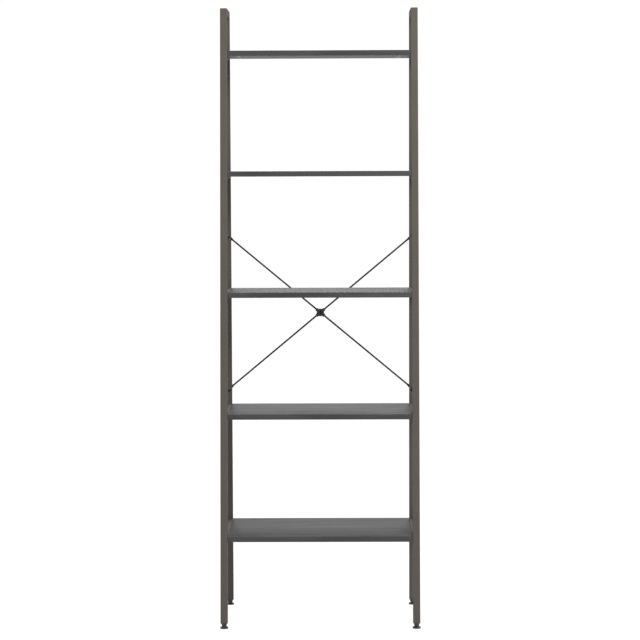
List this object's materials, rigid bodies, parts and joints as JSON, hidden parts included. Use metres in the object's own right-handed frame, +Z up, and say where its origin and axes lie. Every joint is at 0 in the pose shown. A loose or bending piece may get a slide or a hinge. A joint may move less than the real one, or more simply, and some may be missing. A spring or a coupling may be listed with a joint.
{
  "type": "ladder shelf",
  "caption": "Free-standing ladder shelf: leaning square-tube side frames, dark wood-grain boards that deepen towards the floor, a rod X-brace and levelling feet.",
  "frame": {"origin": "on the floor, in the middle of the overall box", "axes": "+Z up, front faces -Y, right side is +X"},
  "size_m": [0.563, 0.3485, 1.74],
  "materials": {
    "frame_paint": "dark warm grey powder coat, satin",
    "board_decor": "graphite wood-grain decor on chipboard, matt",
    "edge_decor": "graphite wood-grain edge banding, matt",
    "rod_paint": "dark grey powder coat, satin",
    "black_plastic": "moulded black plastic, fine texture",
    "black_bolt": "black oxide",
    "zinc_steel": "bright zinc plated"
  },
  "bodies": {
    "shelf_frame": {"front_leg_left": "frame_paint", "front_leg_right": "frame_paint", "rear_leg_left": "frame_paint", "rear_leg_right": "frame_paint", "top_rail_left": "frame_paint", "top_rail_right": "frame_paint", "side_rail_left_1": "frame_paint", "side_rail_left_2": "frame_paint", "side_rail_left_3": "frame_paint", "side_rail_left_4": "frame_paint", "side_rail_left_5": "frame_paint", "side_rail_right_1": "frame_paint", "side_rail_right_2": "frame_paint", "side_rail_right_3": "frame_paint", "side_rail_right_4": "frame_paint", "side_rail_right_5": "frame_paint", "shelf_board_1": "board_decor", "shelf_board_2": "board_decor", "shelf_board_3": "board_decor", "shelf_board_4": "board_decor", "shelf_board_5": "board_decor", "edge_band_1": "edge_decor", "edge_band_2": "edge_decor", "edge_band_3": "edge_decor", "edge_band_4": "edge_decor", "edge_band_5": "edge_decor", "shelf_bolts_left": "black_bolt", "shelf_bolts_right": "black_bolt", "barrel_nuts_left": "zinc_steel", "barrel_nuts_right": "zinc_steel", "brace_rod_upper_left": "rod_paint", "brace_rod_upper_right": "rod_paint", "brace_rod_lower_left": "rod_paint", "brace_rod_lower_right": "rod_paint", "brace_hub_front": "black_plastic", "brace_hub_back": "black_plastic", "hub_screw": "black_bolt", "hub_nut": "black_bolt", "brace_bolts": "black_bolt", "brace_washers": "zinc_steel", "brace_nuts": "zinc_steel", "leg_plug_front_left": "black_plastic", "leg_plug_front_right": "black_plastic", "leg_plug_rear_left": "black_plastic", "leg_plug_rear_right": "black_plastic", "foot_inserts": "zinc_steel"},
    "foot_pad_front_left": {"foot_pad_front_left": "black_plastic"},
    "foot_stud_front_left": {"foot_stud_front_left": "zinc_steel", "foot_collar_front_left": "black_plastic"},
    "foot_pad_front_right": {"foot_pad_front_right": "black_plastic"},
    "foot_stud_front_right": {"foot_stud_front_right": "zinc_steel", "foot_collar_front_right": "black_plastic"},
    "foot_pad_rear_left": {"foot_pad_rear_left": "black_plastic"},
    "foot_stud_rear_left": {"foot_stud_rear_left": "zinc_steel", "foot_collar_rear_left": "black_plastic"},
    "foot_pad_rear_right": {"foot_pad_rear_right": "black_plastic"},
    "foot_stud_rear_right": {"foot_stud_rear_right": "zinc_steel", "foot_collar_rear_right": "black_plastic"}
  },
  "joints": [
    {"name": "foot_front_left_extend", "type": "slide", "parent": "shelf_frame", "child": "foot_pad_front_left", "axis": [0, 0, -1], "range_m": [0, 0.01]},
    {"name": "foot_front_left_turn", "type": "hinge", "parent": "foot_pad_front_left", "child": "foot_stud_front_left", "pos_m": [-0.27, -0.16275, 0], "axis": [0, 0, -1], "range_deg": [0, 2880]},
    {"name": "foot_front_right_extend", "type": "slide", "parent": "shelf_frame", "child": "foot_pad_front_right", "axis": [0, 0, -1], "range_m": [0, 0.01]},
    {"name": "foot_front_right_turn", "type": "hinge", "parent": "foot_pad_front_right", "child": "foot_stud_front_right", "pos_m": [0.27, -0.16275, 0], "axis": [0, 0, -1], "range_deg": [0, 2880]},
    {"name": "foot_rear_left_extend", "type": "slide", "parent": "shelf_frame", "child": "foot_pad_rear_left", "axis": [0, 0, -1], "range_m": [0, 0.01]},
    {"name": "foot_rear_left_turn", "type": "hinge", "parent": "foot_pad_rear_left", "child": "foot_stud_rear_left", "pos_m": [-0.27, 0.15325, 0], "axis": [0, 0, -1], "range_deg": [0, 2880]},
    {"name": "foot_rear_right_extend", "type": "slide", "parent": "shelf_frame", "child": "foot_pad_rear_right", "axis": [0, 0, -1], "range_m": [0, 0.01]},
    {"name": "foot_rear_right_turn", "type": "hinge", "parent": "foot_pad_rear_right", "child": "foot_stud_rear_right", "pos_m": [0.27, 0.15325, 0], "axis": [0, 0, -1], "range_deg": [0, 2880]}
  ],
  "couplings": [
    {"joint": "foot_front_left_turn", "follows": "foot_front_left_extend", "rad_per_m": 5026.5},
    {"joint": "foot_front_right_turn", "follows": "foot_front_right_extend", "rad_per_m": 5026.5},
    {"joint": "foot_rear_left_turn", "follows": "foot_rear_left_extend", "rad_per_m": 5026.5},
    {"joint": "foot_rear_right_turn", "follows": "foot_rear_right_extend", "rad_per_m": 5026.5}
  ]
}
